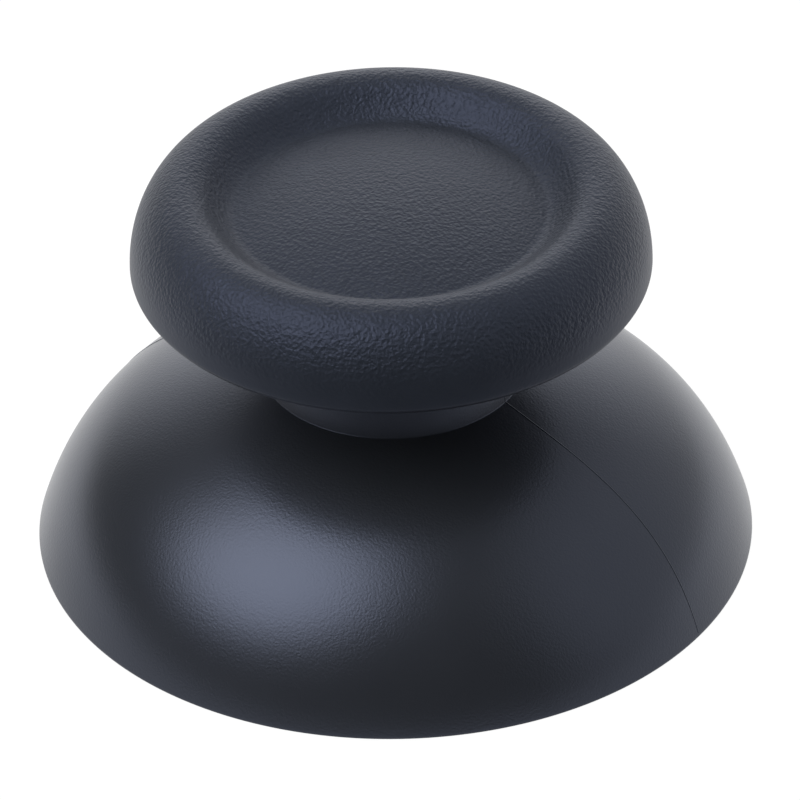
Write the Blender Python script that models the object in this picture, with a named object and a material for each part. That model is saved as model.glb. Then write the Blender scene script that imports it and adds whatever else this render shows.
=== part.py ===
"""Thumbstick cap: a hard plastic dome and neck, with a rubber grip moulded over the disc on top.

Metres, +Z up. The origin is the middle of the rim's bottom face, on the cap's axis, so the cap stands on
its rim. The mould's parting plane is the XZ plane, and the socket's flats lie along it.
"""
import math

import bmesh
import bpy
from mathutils import Vector

# Dome skirt: its outer side is one smooth curve from the neck's foot to the rim.
RIM_RADIUS = 0.0130
DOME_HEIGHT = 0.0073
DOME_TOP_SLOPE = math.radians(22.5)
DOME_TOP_PULL = 0.0036
DOME_RIM_SLOPE = math.radians(74.0)
DOME_RIM_PULL = 0.0050
DOME_WALL = 0.0011

# Neck between the dome and the grip.
NECK_FOOT_RADIUS = 0.0048
NECK_TOP_RADIUS = 0.0045
NECK_LENGTH = 0.00394

# Boss inside the dome, with the blind double-D socket for the stick's lever.
BOSS_RADIUS = 0.0036
BOSS_FILLET = 0.0004
BOSS_RECESS = 0.0026
SOCKET_RADIUS = 0.0020
SOCKET_FLATS = 0.0030
SOCKET_DEPTH = 0.0056
CUTTER_OVERRUN = 0.0010

# Rubber grip: a ring with a sloping outer face, a tight lip under it and a shallow convex centre.
GRIP_RADIUS = 0.00936
CROWN_HEIGHT = 0.00307
CROWN_REACH = 0.0020
LIP_REACH = 0.0012
LIP_DROP = 0.00055
CREST_ROUND = 0.0012
CREST_TURN = math.radians(60.0)
CREASE_DEPTH = 0.0010
CENTRE_RISE = 0.0007

# Rubber thickness round the hard disc inside it, and the gap left between the two mouldings.
TOP_SKIN = 0.0006
UNDER_SKIN = 0.0006
SIDE_SKIN = 0.0015
BOND_GAP = 0.0003

# Facets.
SEGMENTS = 72
DOME_STEPS = 16
CROWN_STEPS = 10
LIP_STEPS = 5
CREST_STEPS = 5
CENTRE_STEPS = 6
FILLET_STEPS = 3
SOCKET_STEPS = 8
WELD_DISTANCE = 0.000001
SHARP_ANGLE = math.radians(32.0)

# Heights that follow from the sizes above.
UNDERSIDE_Z = DOME_HEIGHT + NECK_LENGTH
EQUATOR_Z = UNDERSIDE_Z + LIP_DROP
CREST_Z = EQUATOR_Z + CROWN_HEIGHT
CREASE_Z = CREST_Z - CREASE_DEPTH
CAVITY_FLOOR_Z = UNDERSIDE_Z + UNDER_SKIN
CAVITY_TOP_Z = CREASE_Z - TOP_SKIN
SOCKET_END_Z = BOSS_RECESS + SOCKET_DEPTH

# Radii that follow from them. All points of a profile are (radius, height).
CREST_RADIUS = GRIP_RADIUS - CROWN_REACH
CAVITY_RADIUS = GRIP_RADIUS - SIDE_SKIN
CORE_RADIUS = CAVITY_RADIUS - BOND_GAP
GRIP_HOLE_RADIUS = max(NECK_FOOT_RADIUS, NECK_TOP_RADIUS) + BOND_GAP


def material(name, colour, roughness):
    """One Principled BSDF material."""
    made = bpy.data.materials.new(name)
    made.use_nodes = True
    shader = made.node_tree.nodes["Principled BSDF"]
    shader.inputs["Base Color"].default_value = (*colour, 1.0)
    shader.inputs["Roughness"].default_value = roughness
    shader.inputs["Metallic"].default_value = 0.0
    return made


def add_object(name, bm, surface):
    """A mesh object made from bm, shaded smooth except at its real edges."""
    mesh = bpy.data.meshes.new(name)
    bm.to_mesh(mesh)
    bm.free()
    mesh.shade_smooth()
    mesh.set_sharp_from_angle(angle=SHARP_ANGLE)
    mesh.materials.append(surface)
    made = bpy.data.objects.new(name, mesh)
    bpy.context.scene.collection.objects.link(made)
    return made


def turned(name, profile, surface):
    """A solid of revolution about Z from a profile that starts and ends on the axis."""
    bm = bmesh.new()
    points = [bm.verts.new((radius, 0.0, height)) for radius, height in profile]
    edges = [bm.edges.new(pair) for pair in zip(points, points[1:])]
    bmesh.ops.spin(bm, geom=points + edges, cent=(0, 0, 0), axis=(0, 0, 1), angle=2 * math.pi, steps=SEGMENTS)
    bmesh.ops.remove_doubles(bm, verts=bm.verts[:], dist=WELD_DISTANCE)
    bmesh.ops.recalc_face_normals(bm, faces=bm.faces[:])
    return add_object(name, bm, surface)


def arc(centre, reach, rise, start, end, steps):
    """Points on an ellipse's arc, angles from the radius towards +Z."""
    turns = [start + (end - start) * step / steps for step in range(steps + 1)]
    return [(centre[0] + reach * math.cos(turn), centre[1] + rise * math.sin(turn)) for turn in turns]


def dome_curve():
    """The dome's outer side from the neck's foot to the rim, each point with its outward normal."""
    foot = Vector((NECK_FOOT_RADIUS, DOME_HEIGHT))
    rim = Vector((RIM_RADIUS, 0.0))
    foot_pull = foot + DOME_TOP_PULL * Vector((math.cos(DOME_TOP_SLOPE), -math.sin(DOME_TOP_SLOPE)))
    rim_pull = rim + DOME_RIM_PULL * Vector((-math.cos(DOME_RIM_SLOPE), math.sin(DOME_RIM_SLOPE)))
    curve = []
    for step in range(DOME_STEPS + 1):
        t = step / DOME_STEPS
        s = 1.0 - t
        point = s**3 * foot + 3 * s * s * t * foot_pull + 3 * s * t * t * rim_pull + t**3 * rim
        along = s * s * (foot_pull - foot) + 2 * s * t * (rim_pull - foot_pull) + t * t * (rim - rim_pull)
        along.normalize()
        curve.append((point, Vector((-along.y, along.x))))
    return curve


def between(low, high, share):
    """The point that lies the given share of the way from low to high."""
    return (low[0] + (high[0] - low[0]) * share, low[1] + (high[1] - low[1]) * share)


def dome_inside():
    """The hollow's side, one wall in from the outer side, from the boss's root to the rim's bottom face."""
    offset = [point - DOME_WALL * normal for point, normal in dome_curve()]
    offset = [(point.x, point.y) for point in offset]
    root = BOSS_RADIUS + BOSS_FILLET
    kept = [(root, offset[0][1])]
    for start, end in zip(offset, offset[1:]):
        if start[0] <= root < end[0]:
            kept = [between(start, end, (root - start[0]) / (end[0] - start[0]))]
        elif start[0] > root and start[1] > 0.0:
            kept.append(start)
        if start[1] > 0.0 >= end[1]:
            kept.append(between(start, end, start[1] / (start[1] - end[1])))
    return kept


def dome_profile():
    """The hard moulding's section: disc, neck, dome, rim, hollow and boss."""
    disc_top = CAVITY_TOP_Z - BOND_GAP
    disc_floor = CAVITY_FLOOR_Z + BOND_GAP
    disc = [(0.0, disc_top), (CORE_RADIUS, disc_top), (CORE_RADIUS, disc_floor), (NECK_TOP_RADIUS, disc_floor)]
    outside = [(point.x, point.y) for point, normal in dome_curve()]
    inside = dome_inside()
    root_z = inside[0][1]
    fillet_centre = (BOSS_RADIUS + BOSS_FILLET, root_z - BOSS_FILLET)
    fillet = arc(fillet_centre, BOSS_FILLET, BOSS_FILLET, math.pi / 2, math.pi, FILLET_STEPS)
    boss_end = [(BOSS_RADIUS, BOSS_RECESS), (0.0, BOSS_RECESS)]
    return disc + outside + inside[:0:-1] + fillet + boss_end


def grip_profile():
    """The rubber's section: convex centre, ring, lip, underside and the cavity that the hard disc fills."""
    turn_in = CREST_ROUND * math.sin(CREST_TURN)
    turn_down = CREST_ROUND * (1.0 - math.cos(CREST_TURN))
    wall_in = (CREASE_DEPTH - turn_down) / math.tan(CREST_TURN)
    crease = CREST_RADIUS - turn_in - wall_in
    centre_round = (crease**2 + CENTRE_RISE**2) / (2 * CENTRE_RISE)
    centre_angle = math.asin(crease / centre_round)
    centre = arc((0.0, CREASE_Z + CENTRE_RISE - centre_round), centre_round, centre_round,
                 math.pi / 2, math.pi / 2 - centre_angle, CENTRE_STEPS)
    crest = arc((CREST_RADIUS, CREST_Z - CREST_ROUND), CREST_ROUND, CREST_ROUND,
                math.pi / 2 + CREST_TURN, math.pi / 2, CREST_STEPS)
    crown = arc((CREST_RADIUS, EQUATOR_Z), CROWN_REACH, CROWN_HEIGHT, math.pi / 2, 0.0, CROWN_STEPS)
    lip = arc((GRIP_RADIUS - LIP_REACH, EQUATOR_Z), LIP_REACH, LIP_DROP, 0.0, -math.pi / 2, LIP_STEPS)
    hole = [(GRIP_HOLE_RADIUS, UNDERSIDE_Z), (GRIP_HOLE_RADIUS, CAVITY_FLOOR_Z)]
    cavity = [(CAVITY_RADIUS, CAVITY_FLOOR_Z), (CAVITY_RADIUS, CAVITY_TOP_Z), (0.0, CAVITY_TOP_Z)]
    return centre + crest + crown[1:] + lip[1:] + hole + cavity


def socket_cutter(surface):
    """A double-D bar along Z: round ends towards +X and -X, flats towards +Y and -Y."""
    half = math.asin(0.5 * SOCKET_FLATS / SOCKET_RADIUS)
    outline = arc((0.0, 0.0), SOCKET_RADIUS, SOCKET_RADIUS, -half, half, SOCKET_STEPS)
    outline += arc((0.0, 0.0), SOCKET_RADIUS, SOCKET_RADIUS, math.pi - half, math.pi + half, SOCKET_STEPS)
    low = BOSS_RECESS - CUTTER_OVERRUN
    bm = bmesh.new()
    mouth = bm.faces.new([bm.verts.new((x, y, low)) for x, y in outline])
    grown = bmesh.ops.extrude_face_region(bm, geom=[mouth])["geom"]
    risen = [item for item in grown if isinstance(item, bmesh.types.BMVert)]
    bmesh.ops.translate(bm, verts=risen, vec=(0.0, 0.0, SOCKET_END_Z - low))
    bmesh.ops.recalc_face_normals(bm, faces=bm.faces[:])
    cutter = add_object("socket_cutter", bm, surface)
    cutter.hide_render = True
    cutter.display_type = "WIRE"
    return cutter


def cut(target, cutter):
    """Take the cutter's shape out of the target."""
    boolean = target.modifiers.new("socket", "BOOLEAN")
    boolean.operation = "DIFFERENCE"
    boolean.solver = "EXACT"
    boolean.object = cutter


for old in list(bpy.data.objects):
    bpy.data.objects.remove(old)

plastic = material("satin_plastic", (0.026, 0.028, 0.034), 0.38)
rubber = material("grained_rubber", (0.034, 0.039, 0.050), 0.72)
dome_body = turned("dome_body", dome_profile(), plastic)
cut(dome_body, socket_cutter(plastic))
turned("rubber_grip", grip_profile(), rubber)
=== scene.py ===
import math

import bpy
from mathutils import Matrix, Vector


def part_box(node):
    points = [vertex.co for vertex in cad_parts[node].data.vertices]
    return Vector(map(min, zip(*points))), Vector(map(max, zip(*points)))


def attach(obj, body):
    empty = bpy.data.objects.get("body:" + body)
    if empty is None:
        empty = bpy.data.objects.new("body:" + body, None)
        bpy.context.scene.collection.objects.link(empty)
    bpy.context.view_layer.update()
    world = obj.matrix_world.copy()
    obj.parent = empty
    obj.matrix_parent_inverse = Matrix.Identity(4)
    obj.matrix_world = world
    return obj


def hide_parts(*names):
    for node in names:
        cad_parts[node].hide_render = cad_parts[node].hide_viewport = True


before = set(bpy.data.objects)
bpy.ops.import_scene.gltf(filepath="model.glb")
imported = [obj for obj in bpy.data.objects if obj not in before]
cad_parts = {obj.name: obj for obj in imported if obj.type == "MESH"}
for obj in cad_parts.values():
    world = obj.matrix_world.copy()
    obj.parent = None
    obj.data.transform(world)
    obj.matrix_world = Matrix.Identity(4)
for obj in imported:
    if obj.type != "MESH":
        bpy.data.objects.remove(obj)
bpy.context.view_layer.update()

# Dome, neck and boss
# One hard moulding in ABS: the skirt that turns under the housing, the neck, the disc that the grip is
# moulded over, and the boss that presses onto the lever. Its section is turned about Z, and the mould closes
# on y = 0.
MM = 0.001
dome_low, dome_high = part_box("dome_body")
grip_low, grip_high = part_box("rubber_grip")
RIM_RADIUS = dome_high.x
RIM_EASE = 0.14 * MM
DOME_HEIGHT = 7.3 * MM
DOME_TOP_SLOPE = math.radians(22.5)
DOME_TOP_PULL = 3.6 * MM
DOME_RIM_SLOPE = math.radians(74.0)
DOME_RIM_PULL = 5.0 * MM
DOME_WALL = 1.1 * MM
NECK_FOOT_RADIUS = 4.8 * MM
NECK_TOP_RADIUS = 4.5 * MM
NECK_EASE = 0.03 * MM
CORE_RADIUS = 7.56 * MM
CORE_TOP_Z = dome_high.z
CORE_FLOOR_Z = grip_low.z + 0.9 * MM
BOSS_RADIUS = 3.6 * MM
BOSS_FILLET = 0.4 * MM
BOSS_RECESS = 2.6 * MM
BOSS_EASE = 0.12 * MM
SOCKET_RADIUS = 2.0 * MM
SOCKET_FLATS = 3.0 * MM
SOCKET_DEPTH = 5.6 * MM
SOCKET_END_Z = BOSS_RECESS + SOCKET_DEPTH
SOCKET_MARGIN = 0.1 * MM
PARTING_WIDTH = 0.05 * MM
PARTING_HEIGHT = 0.016 * MM
PARTING_END_Z = 0.15 * MM
PARTING_SIDES = 8
SEGMENTS = 256
DOME_STEPS = 72
EASE_STEPS = 8
WELD_DISTANCE = 0.0005 * MM
SHARP_ANGLE = math.radians(40.0)


def arc(centre, reach, rise, start, end, steps):
    """Points (radius, height) on an ellipse's arc, angles from the radius towards +Z."""
    turns = [start + (end - start) * step / steps for step in range(steps + 1)]
    return [(centre[0] + reach * math.cos(turn), centre[1] + rise * math.sin(turn)) for turn in turns]


def eased(points, corner, before, after):
    """The profile with one corner drawn as a curve, from some way before it to some way after it."""
    ends = []
    for side, reach in ((-1, before), (1, after)):
        i = points.index(corner) + side
        while math.dist(points[i], corner) < reach:
            i += side
        near, far = math.dist(points[i - side], corner), math.dist(points[i], corner)
        ends.append((i, Vector(points[i - side]).lerp(Vector(points[i]), (reach - near) / (far - near))))
    (first, start), (last, end) = ends
    shares = [step / EASE_STEPS for step in range(EASE_STEPS + 1)]
    curve = [(1 - t) ** 2 * start + 2 * t * (1 - t) * Vector(corner) + t * t * end for t in shares]
    return points[:first + 1] + [tuple(point) for point in curve] + points[last:]


def inset(points, wall):
    """The curve that lies one wall inside the points, on the right of their direction."""
    moved = []
    for i, point in enumerate(points):
        along = (Vector(points[min(i + 1, len(points) - 1)]) - Vector(points[max(i - 1, 0)])).normalized()
        moved.append((point[0] + wall * along.y, point[1] - wall * along.x))
    return moved


def add(tree, kind, inputs, **settings):
    """A node with its settings, each input given as a value or as the socket that feeds it."""
    node = tree.nodes.new(kind)
    for name, value in settings.items():
        setattr(node, name, value)
    for name, value in inputs.items():
        if isinstance(value, bpy.types.NodeSocket):
            tree.links.new(value, node.inputs[name])
        else:
            node.inputs[name].default_value = value
    return node


def turning_tree():
    """Geometry Nodes that turn a profile's edges about Z, cut flats near the axis and raise the mould's line.

    A profile point lies at (radius - Path Radius, -height). Edges marked as parting carry the line on +X
    and -X.
    """
    tree = bpy.data.node_groups.new("turned_about_z", "GeometryNodeTree")
    tree.interface.new_socket("Profile", in_out="INPUT", socket_type="NodeSocketGeometry")
    tree.interface.new_socket("Segments", in_out="INPUT", socket_type="NodeSocketInt")
    for name in ("Path Radius", "Weld", "Sharp Angle", "Half Flats", "Flats Reach",
                 "Line Width", "Line Height"):
        tree.interface.new_socket(name, in_out="INPUT", socket_type="NodeSocketFloat")
    tree.interface.new_socket("Finish", in_out="INPUT", socket_type="NodeSocketMaterial")
    tree.interface.new_socket("Solid", in_out="OUTPUT", socket_type="NodeSocketGeometry")
    given = add(tree, "NodeGroupInput", {}).outputs

    section = add(tree, "GeometryNodeMeshToCurve", {"Mesh": given["Profile"]})
    circle = add(tree, "GeometryNodeCurvePrimitiveCircle",
                 {"Resolution": given["Segments"], "Radius": given["Path Radius"]})
    path = add(tree, "GeometryNodeSetCurveNormal", {"Curve": circle.outputs[0]}, mode="Z_UP")
    swept = add(tree, "GeometryNodeCurveToMesh",
                {"Curve": path.outputs[0], "Profile Curve": section.outputs[0]})
    welded = add(tree, "GeometryNodeMergeByDistance",
                 {"Geometry": swept.outputs[0], "Distance": given["Weld"]})

    position = add(tree, "GeometryNodeInputPosition", {})
    place = add(tree, "ShaderNodeSeparateXYZ", {0: position.outputs[0]}).outputs
    from_axis = add(tree, "ShaderNodeCombineXYZ", {"X": place["X"], "Y": place["Y"]})
    radius = add(tree, "ShaderNodeVectorMath", {0: from_axis.outputs[0]}, operation="LENGTH")
    near = add(tree, "FunctionNodeCompare", {0: radius.outputs["Value"], 1: given["Flats Reach"]},
               operation="LESS_THAN")
    other_side = add(tree, "ShaderNodeMath", {0: given["Half Flats"], 1: -1.0}, operation="MULTIPLY")
    flat_y = add(tree, "ShaderNodeClamp", {"Value": place["Y"], "Min": other_side.outputs[0],
                                           "Max": given["Half Flats"]})
    flattened = add(tree, "ShaderNodeCombineXYZ",
                    {"X": place["X"], "Y": flat_y.outputs[0], "Z": place["Z"]})
    cut = add(tree, "GeometryNodeSetPosition", {"Geometry": welded.outputs[0], "Selection": near.outputs[0],
                                                "Position": flattened.outputs[0]})
    smooth = add(tree, "GeometryNodeSetShadeSmooth", {0: cut.outputs[0]})
    edge = add(tree, "GeometryNodeInputMeshEdgeAngle", {})
    sharp = add(tree, "FunctionNodeCompare", {0: edge.outputs[0], 1: given["Sharp Angle"]})
    creased = add(tree, "GeometryNodeSetShadeSmooth",
                  {0: smooth.outputs[0], "Selection": sharp.outputs[0], "Shade Smooth": False}, domain="EDGE")

    marked = add(tree, "GeometryNodeInputNamedAttribute", {"Name": "parting"}, data_type="BOOLEAN")
    kept = add(tree, "GeometryNodeSeparateGeometry", {0: given["Profile"], 1: marked.outputs[0]},
               domain="EDGE")
    seam = add(tree, "GeometryNodeMeshToCurve", {"Mesh": kept.outputs[0]})
    out = add(tree, "ShaderNodeMath", {0: place["X"], 1: given["Path Radius"]}, operation="ADD")
    up = add(tree, "ShaderNodeMath", {0: place["Y"], 1: -1.0}, operation="MULTIPLY")
    upright = add(tree, "ShaderNodeCombineXYZ", {"X": out.outputs[0], "Z": up.outputs[0]})
    raised = add(tree, "GeometryNodeSetPosition",
                 {"Geometry": seam.outputs[0], "Position": upright.outputs[0]})
    across = add(tree, "GeometryNodeSetCurveNormal",
                 {"Curve": raised.outputs[0], "Normal": (0.0, 1.0, 0.0)}, mode="FREE")
    round_bead = add(tree, "GeometryNodeCurvePrimitiveCircle", {"Resolution": PARTING_SIDES, "Radius": 0.5})
    bead_size = add(tree, "ShaderNodeCombineXYZ",
                    {"X": given["Line Width"], "Y": given["Line Height"], "Z": 1.0})
    bead = add(tree, "GeometryNodeTransform",
               {"Geometry": round_bead.outputs[0], "Scale": bead_size.outputs[0]})
    line = add(tree, "GeometryNodeCurveToMesh",
               {"Curve": across.outputs[0], "Profile Curve": bead.outputs[0], "Fill Caps": True})
    far_line = add(tree, "GeometryNodeTransform",
                   {"Geometry": line.outputs[0], "Rotation": (0.0, 0.0, math.pi)})

    joined = add(tree, "GeometryNodeJoinGeometry", {0: creased.outputs[0]})
    tree.links.new(line.outputs[0], joined.inputs[0])
    tree.links.new(far_line.outputs[0], joined.inputs[0])
    real = add(tree, "GeometryNodeRealizeInstances", {0: joined.outputs[0]})
    finished = add(tree, "GeometryNodeSetMaterial",
                   {"Geometry": real.outputs[0], "Material": given["Finish"]})
    add(tree, "NodeGroupOutput", {"Solid": finished.outputs[0]})
    return tree


turning = turning_tree()


def turned(name, profile, finish, parting=(), flats_reach=0.0):
    """A plain mesh of the profile turned about Z; the points in parting carry the mould's line."""
    mesh = bpy.data.meshes.new(name + "_profile")
    flat = [(radius - RIM_RADIUS, -height, 0.0) for radius, height in profile]
    mesh.from_pydata(flat, [(i, i + 1) for i in range(len(profile) - 1)], [])
    mark = mesh.attributes.new("parting", "BOOLEAN", "EDGE")
    for i, ends in enumerate(zip(profile, profile[1:])):
        mark.data[i].value = ends[0] in parting and ends[1] in parting
    source = bpy.data.objects.new(name + "_profile", mesh)
    bpy.context.scene.collection.objects.link(source)
    nodes = source.modifiers.new("turned", "NODES")
    nodes.node_group = turning
    sockets = {item.name: item.identifier for item in turning.interface.items_tree if item.in_out == "INPUT"}
    values = {"Segments": SEGMENTS, "Path Radius": RIM_RADIUS, "Weld": WELD_DISTANCE,
              "Sharp Angle": SHARP_ANGLE, "Half Flats": SOCKET_FLATS / 2, "Flats Reach": flats_reach,
              "Line Width": PARTING_WIDTH, "Line Height": 2 * PARTING_HEIGHT, "Finish": finish}
    for label, value in values.items():
        nodes[sockets[label]] = value
    bpy.context.view_layer.update()
    solid = bpy.data.meshes.new_from_object(source.evaluated_get(bpy.context.evaluated_depsgraph_get()))
    bpy.data.objects.remove(source)
    piece = bpy.data.objects.new(name, solid)
    bpy.context.scene.collection.objects.link(piece)
    return piece


def linear(code):
    """A Principled colour from an sRGB hex value."""
    parts = [int(code[i:i + 2], 16) / 255 for i in (1, 3, 5)]
    return (*[c / 12.92 if c <= 0.04045 else ((c + 0.055) / 1.055) ** 2.4 for c in parts], 1.0)


def surface(name):
    """A new material with its node tree and its Principled shader."""
    made = bpy.data.materials.new(name)
    made.use_nodes = True
    return made, made.node_tree, made.node_tree.nodes["Principled BSDF"]


# Satin moulded ABS: the mould was spark eroded, which leaves a very fine, even grain that spreads highlights
# and sparkles at their edges. The real grain, about 0.03 mm, is too fine to show and is drawn at 0.09 mm.
plastic, tree, shader = surface("satin_moulded_abs")
SPARK_GRAIN = 0.09 * MM
SPARK_DEPTH = 0.008 * MM
PLASTIC_CLOUDS = 3.0 * MM
SATIN_LEAST, SATIN_MOST = 0.276, 0.296
coords = add(tree, "ShaderNodeTexCoord", {}).outputs["Object"]
spark = add(tree, "ShaderNodeTexNoise", {"Vector": coords, "Scale": 1 / SPARK_GRAIN, "Detail": 2.0})
cloud = add(tree, "ShaderNodeTexNoise", {"Vector": coords, "Scale": 1 / PLASTIC_CLOUDS, "Detail": 3.0})
rough = add(tree, "ShaderNodeMapRange",
            {"Value": cloud.outputs[0], "To Min": SATIN_LEAST, "To Max": SATIN_MOST})
tone = add(tree, "ShaderNodeMix", {0: cloud.outputs[0], 6: linear("#282a2e"), 7: linear("#2c2e32")},
           data_type="RGBA")
relief = add(tree, "ShaderNodeBump", {"Height": spark.outputs[0], "Strength": 1.0, "Distance": SPARK_DEPTH})
tree.links.new(tone.outputs[2], shader.inputs["Base Color"])
tree.links.new(rough.outputs[0], shader.inputs["Roughness"])
tree.links.new(relief.outputs[0], shader.inputs["Normal"])
shader.inputs["IOR"].default_value = 1.53
shader.inputs["Specular Tint"].default_value = linear("#d0dcff")
shader.inputs["Specular IOR Level"].default_value = 0.63

foot = Vector((NECK_FOOT_RADIUS, DOME_HEIGHT))
rim = Vector((RIM_RADIUS, 0.0))
foot_pull = foot + DOME_TOP_PULL * Vector((math.cos(DOME_TOP_SLOPE), -math.sin(DOME_TOP_SLOPE)))
rim_pull = rim + DOME_RIM_PULL * Vector((-math.cos(DOME_RIM_SLOPE), math.sin(DOME_RIM_SLOPE)))
shares = [step / DOME_STEPS for step in range(DOME_STEPS + 1)]
outer = [tuple((1 - t) ** 3 * foot + 3 * t * (1 - t) ** 2 * foot_pull
               + 3 * t * t * (1 - t) * rim_pull + t**3 * rim) for t in shares]
root = BOSS_RADIUS + BOSS_FILLET
inner = [(radius, height) for radius, height in inset(outer, DOME_WALL) if height > 0 and radius > root]
core = [(0.0, CORE_TOP_Z), (CORE_RADIUS, CORE_TOP_Z), (CORE_RADIUS, CORE_FLOOR_Z),
        (NECK_TOP_RADIUS, CORE_FLOOR_Z)]
inner_rim = (inner[-1][0], 0.0)
fillet = arc((root, inner[0][1] - BOSS_FILLET), BOSS_FILLET, BOSS_FILLET, math.pi / 2, math.pi, EASE_STEPS)
boss_edge = (BOSS_RADIUS, BOSS_RECESS)
socket = [(SOCKET_RADIUS, BOSS_RECESS), (SOCKET_RADIUS, SOCKET_END_Z), (0.0, SOCKET_END_Z)]
section = core + outer + [inner_rim] + inner[::-1] + fillet + [boss_edge] + socket
for corner, reach in ((outer[0], NECK_EASE), (outer[-1], RIM_EASE),
                      (inner_rim, RIM_EASE), (boss_edge, BOSS_EASE)):
    section = eased(section, corner, reach, reach)
outside = section[len(core) - 1:section.index(outer[DOME_STEPS // 2])] + outer[DOME_STEPS // 2:]
parting = [point for point in outside if point[1] > PARTING_END_Z]
dome = turned("dome", section, plastic, parting, SOCKET_RADIUS + SOCKET_MARGIN)
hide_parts("dome_body")
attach(dome, "root")

# Grip
# Soft rubber (TPE) moulded over the hard disc: a rounded ring that the thumb rests on, round a shallow,
# convex centre, with a smooth lip under the ring. It wraps under the disc and closes on the neck.
GRIP_RADIUS = grip_high.x
UNDERSIDE_Z = grip_low.z
CREST_Z = grip_high.z
LIP_REACH = 1.2 * MM
LIP_DROP = 0.55 * MM
CROWN_REACH = 2.0 * MM
CREST_ROUND = 1.2 * MM
CREST_TURN = math.radians(42.0)
CREASE_DEPTH = 1.0 * MM
CREASE_EASE_IN = 0.25 * MM
CREASE_EASE_OUT = 0.75 * MM
CENTRE_RISE = 0.7 * MM
SKIN = 0.6 * MM
BOND_GAP = 0.3 * MM
NECK_GRASP = 0.02 * MM
CENTRE_STEPS = 30
CREST_STEPS = 20
CROWN_STEPS = 40
LIP_STEPS = 20

# Grained moulded TPE: matt, with a leather-like grain of soft wrinkles about 0.15 mm across, which glints on
# the ring and runs out above the smooth lip.
rubber, tree, shader = surface("grained_moulded_tpe")
GRAIN_CELL = 0.15 * MM
GRAIN_BEND = 0.3 * MM
GRAIN_SHIFT = 0.06 * MM
FINE_GRAIN = 0.09 * MM
GRAIN_DEPTH = 0.033 * MM
GRAIN_ON_LIP = 0.1
SMOOTH_TO_Z = UNDERSIDE_Z + 0.9 * MM
GRAINED_FROM_Z = UNDERSIDE_Z + 2.1 * MM
RUBBER_CLOUDS = 1.5 * MM
coords = add(tree, "ShaderNodeTexCoord", {}).outputs["Object"]
wander = add(tree, "ShaderNodeTexNoise", {"Vector": coords, "Scale": 1 / GRAIN_BEND, "Detail": 2.0})
shifted = add(tree, "ShaderNodeVectorMath", {0: wander.outputs[1], "Scale": GRAIN_SHIFT}, operation="SCALE")
bent = add(tree, "ShaderNodeVectorMath", {0: coords, 1: shifted.outputs[0]}, operation="ADD")
cells = add(tree, "ShaderNodeTexVoronoi",
            {"Vector": bent.outputs[0], "Scale": 1 / GRAIN_CELL, "Smoothness": 0.6}, feature="SMOOTH_F1")
fine = add(tree, "ShaderNodeTexNoise", {"Vector": coords, "Scale": 1 / FINE_GRAIN, "Detail": 2.0})
grain = add(tree, "ShaderNodeMath", {0: cells.outputs[0], 1: fine.outputs[0]}, operation="ADD")
level = add(tree, "ShaderNodeSeparateXYZ", {0: coords})
above_lip = add(tree, "ShaderNodeMapRange",
                {"Value": level.outputs["Z"], "From Min": SMOOTH_TO_Z, "From Max": GRAINED_FROM_Z,
                 "To Min": GRAIN_ON_LIP, "To Max": 1.0})
height = add(tree, "ShaderNodeMath", {0: grain.outputs[0], 1: above_lip.outputs[0]}, operation="MULTIPLY")
cloud = add(tree, "ShaderNodeTexNoise", {"Vector": coords, "Scale": 1 / RUBBER_CLOUDS, "Detail": 3.0})
tone = add(tree, "ShaderNodeMix", {0: cloud.outputs[0], 6: linear("#24282e"), 7: linear("#2c3037")},
           data_type="RGBA")
relief = add(tree, "ShaderNodeBump", {"Height": height.outputs[0], "Strength": 1.0, "Distance": GRAIN_DEPTH})
tree.links.new(tone.outputs[2], shader.inputs["Base Color"])
tree.links.new(relief.outputs[0], shader.inputs["Normal"])
shader.inputs["Roughness"].default_value = 0.47
shader.inputs["IOR"].default_value = 1.5
shader.inputs["Specular Tint"].default_value = linear("#c6d2ff")
shader.inputs["Specular IOR Level"].default_value = 0.47


def neck_radius(height):
    """The neck's radius at a height."""
    share = (height - DOME_HEIGHT) / (CORE_FLOOR_Z - DOME_HEIGHT)
    return NECK_FOOT_RADIUS + (NECK_TOP_RADIUS - NECK_FOOT_RADIUS) * share


equator_z = UNDERSIDE_Z + LIP_DROP
crest_radius = GRIP_RADIUS - CROWN_REACH
turn_down = CREST_ROUND * (1.0 - math.cos(CREST_TURN))
wall_in = (CREASE_DEPTH - turn_down) / math.tan(CREST_TURN)
crease = crest_radius - CREST_ROUND * math.sin(CREST_TURN) - wall_in
crease_z = CREST_Z - CREASE_DEPTH
centre_round = (crease**2 + CENTRE_RISE**2) / (2 * CENTRE_RISE)
centre_angle = math.asin(crease / centre_round)
centre = arc((0.0, crease_z + CENTRE_RISE - centre_round), centre_round, centre_round,
             math.pi / 2, math.pi / 2 - centre_angle, CENTRE_STEPS)
crest = arc((crest_radius, CREST_Z - CREST_ROUND), CREST_ROUND, CREST_ROUND,
            math.pi / 2 + CREST_TURN, math.pi / 2, CREST_STEPS)
crown = arc((crest_radius, equator_z), CROWN_REACH, CREST_Z - equator_z, math.pi / 2, 0.0, CROWN_STEPS)
lip = arc((GRIP_RADIUS - LIP_REACH, equator_z), LIP_REACH, LIP_DROP, 0.0, -math.pi / 2, LIP_STEPS)
cavity_radius = CORE_RADIUS + BOND_GAP
hole = [(neck_radius(height) - NECK_GRASP, height) for height in (UNDERSIDE_Z, UNDERSIDE_Z + SKIN)]
cavity = [(cavity_radius, UNDERSIDE_Z + SKIN), (cavity_radius, crease_z - SKIN), (0.0, crease_z - SKIN)]
section = centre + crest + crown[1:] + lip[1:] + hole + cavity
section = eased(section, centre[-1], CREASE_EASE_IN, CREASE_EASE_OUT)
grip = turned("grip", section, rubber)
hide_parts("rubber_grip")
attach(grip, "root")

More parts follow.
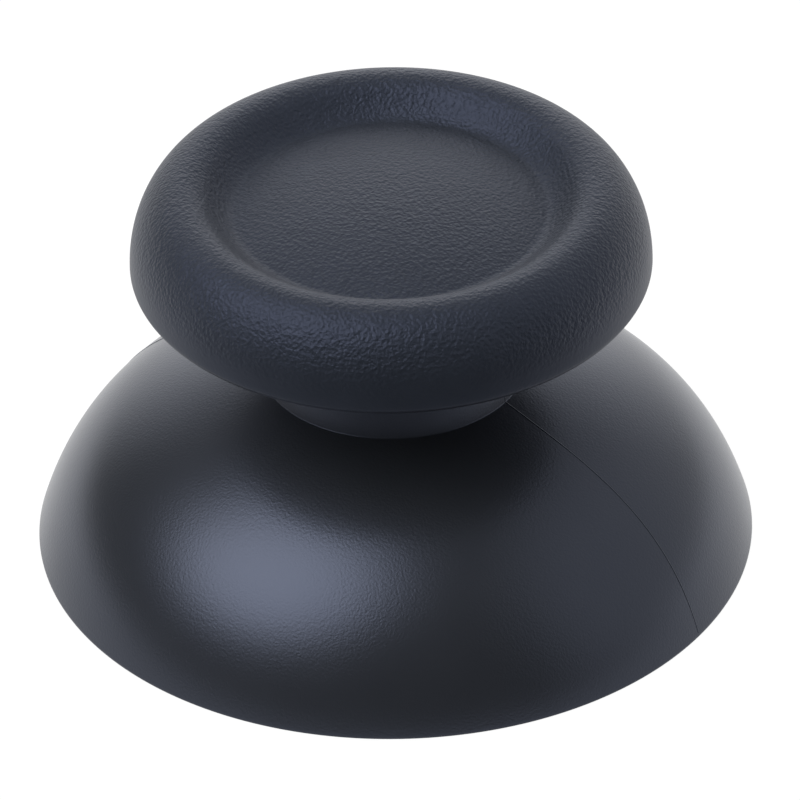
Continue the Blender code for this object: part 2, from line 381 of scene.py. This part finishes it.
# Camera
# The photograph looks down on the cap from 36 degrees, through a long lens 0.4 m away, rolled by a degree.
PIXELS = 800
FOCAL_PIXELS = 11098.0
SENSOR = 36.0
CAMERA_DISTANCE = 404.0 * MM
CAMERA_ELEVATION = math.radians(35.88)
CAMERA_HEADING = math.radians(-56.52)
CAMERA_ROLL = math.radians(0.95)
AIM_ASIDE = 0.233 * MM
AIM_HEIGHT = 5.592 * MM
CLIP = (0.01, 10.0)
UP = Vector((0.0, 0.0, 1.0))
heading = Vector((math.cos(CAMERA_HEADING), math.sin(CAMERA_HEADING), 0.0))
place = CAMERA_DISTANCE * (math.cos(CAMERA_ELEVATION) * heading + math.sin(CAMERA_ELEVATION) * UP)
aim = AIM_ASIDE * UP.cross(heading) + AIM_HEIGHT * UP
forward = (aim - place).normalized()
right = forward.cross(UP).normalized()
down = forward.cross(right)
image_right = math.cos(CAMERA_ROLL) * right + math.sin(CAMERA_ROLL) * down
image_down = -math.sin(CAMERA_ROLL) * right + math.cos(CAMERA_ROLL) * down
lens = bpy.data.cameras.new("camera")
lens.sensor_width = SENSOR
lens.lens = FOCAL_PIXELS / PIXELS * SENSOR
lens.clip_start, lens.clip_end = CLIP
camera = bpy.data.objects.new("camera", lens)
bpy.context.scene.collection.objects.link(camera)
turn = Matrix((image_right, -image_down, -forward)).transposed()
camera.matrix_world = Matrix.Translation(place) @ turn.to_4x4()
bpy.context.scene.camera = camera
bpy.context.scene.view_settings.view_transform = "Standard"

# Floor and light
# White paper, plain white past the cap to the camera. In reflections it glows brighter, as painted light, and
# that glow fades on the camera's side as painted shade; its matt colour is darker there too, as painted
# shade.
# Three soft lights are drawn in the world: a large one high on the left, a wide low one behind and a weak one
# on the right.
FLOOR_SIZE = 4.0
FLOOR_DROP = 0.02 * MM
PALE_UP_TO = -4 * MM
DARK_FROM = 30 * MM
DARK_SHADE = 0.03
MATT_BASE, MATT_GAIN = 0.09, 0.32
GLOW_SHARE = 0.9
GLOW = 1.1
GLOW_ADDED_IN_MIRROR = 0.25
AMBIENT = 0.10
# Each light: turn from the camera's heading, elevation, where its fall starts and ends, all in degrees, and
# its strength.
SOFT_LIGHTS = (
    (-64, 54, 18, 36, 4.0),
    (180, 10, 12, 46, 1.9),
    (98, 20, 34, 54, 0.6),
)
bpy.ops.mesh.primitive_plane_add(size=FLOOR_SIZE, location=(0, 0, -FLOOR_DROP))
floor = bpy.context.object
floor.name = "floor"
white = bpy.data.materials.new("floor_glow_with_painted_shade")
white.use_nodes = True
tree = white.node_tree
tree.nodes.clear()
ray = add(tree, "ShaderNodeLightPath", {}).outputs
spot = add(tree, "ShaderNodeTexCoord", {}).outputs["Object"]
where = add(tree, "ShaderNodeVectorMath", {0: spot, 1: tuple(heading)}, operation="DOT_PRODUCT")
# Painted shade: the floor's glow in reflections fades from full behind the cap to dark on the camera's side.
shade = add(tree, "ShaderNodeMapRange", {"Value": where.outputs["Value"], "From Min": PALE_UP_TO,
                                         "From Max": DARK_FROM, "To Min": 1.0, "To Max": DARK_SHADE})
mirrored = add(tree, "ShaderNodeMath", {0: ray["Is Glossy Ray"], 1: shade.outputs[0]}, operation="MULTIPLY")
seen = add(tree, "ShaderNodeMath", {0: ray["Is Camera Ray"], 1: mirrored.outputs[0]}, operation="MAXIMUM")
seen = add(tree, "ShaderNodeMath", {0: seen.outputs[0], 1: ray["Is Transmission Ray"]}, operation="MAXIMUM")
share = add(tree, "ShaderNodeMath", {0: seen.outputs[0], 1: GLOW_SHARE}, operation="MULTIPLY")
# Painted shade: the floor's matt colour is darker on the camera's side, so it casts less light back onto the
# cap.
grey = add(tree, "ShaderNodeMath", {0: shade.outputs[0], 1: MATT_GAIN, 2: MATT_BASE},
           operation="MULTIPLY_ADD")
matt = add(tree, "ShaderNodeBsdfDiffuse", {"Color": grey.outputs[0]})
# Painted light: the floor glows more strongly in reflections than the camera sees it, and the cap's edges
# mirror it.
lit = add(tree, "ShaderNodeMath", {0: ray["Is Glossy Ray"], 1: GLOW_ADDED_IN_MIRROR, 2: GLOW},
          operation="MULTIPLY_ADD")
glow = add(tree, "ShaderNodeEmission", {"Color": (1, 1, 1, 1), "Strength": lit.outputs[0]})
glowing_floor = add(tree, "ShaderNodeMixShader", {0: share.outputs[0], 1: matt.outputs[0], 2: glow.outputs[0]})
add(tree, "ShaderNodeOutputMaterial", {"Surface": glowing_floor.outputs[0]})
floor.data.materials.append(white)


def way(turn_by, elevation):
    """The direction turned from the camera's heading and raised above the floor, both in degrees."""
    around, above = CAMERA_HEADING + math.radians(turn_by), math.radians(elevation)
    return Vector((math.cos(around) * math.cos(above), math.sin(around) * math.cos(above), math.sin(above)))


world = bpy.data.worlds.new("surround")
world.use_nodes = True
tree = world.node_tree
tree.nodes.clear()
ray = add(tree, "ShaderNodeLightPath", {}).outputs
direction = add(tree, "ShaderNodeTexCoord", {}).outputs["Generated"]
strength = AMBIENT
for turn_by, elevation, full_to, gone_at, radiance in SOFT_LIGHTS:
    toward = add(tree, "ShaderNodeVectorMath", {0: direction, 1: tuple(way(turn_by, elevation))},
                 operation="DOT_PRODUCT")
    angle = add(tree, "ShaderNodeMath", {0: toward.outputs["Value"]}, operation="ARCCOSINE")
    soft = add(tree, "ShaderNodeMapRange",
               {"Value": angle.outputs[0], "From Min": math.radians(full_to),
                "From Max": math.radians(gone_at), "To Min": radiance, "To Max": 0.0})
    strength = add(tree, "ShaderNodeMath", {0: soft.outputs[0], 1: strength}, operation="ADD").outputs[0]
seen = add(tree, "ShaderNodeMath", {0: ray["Is Camera Ray"], 1: ray["Is Transmission Ray"]},
           operation="MAXIMUM")
strength = add(tree, "ShaderNodeMath", {0: strength, 1: seen.outputs[0]}, operation="MAXIMUM").outputs[0]
sky = add(tree, "ShaderNodeBackground", {"Color": (1, 1, 1, 1), "Strength": strength})
add(tree, "ShaderNodeOutputWorld", {"Surface": sky.outputs[0]})
bpy.context.scene.world = world
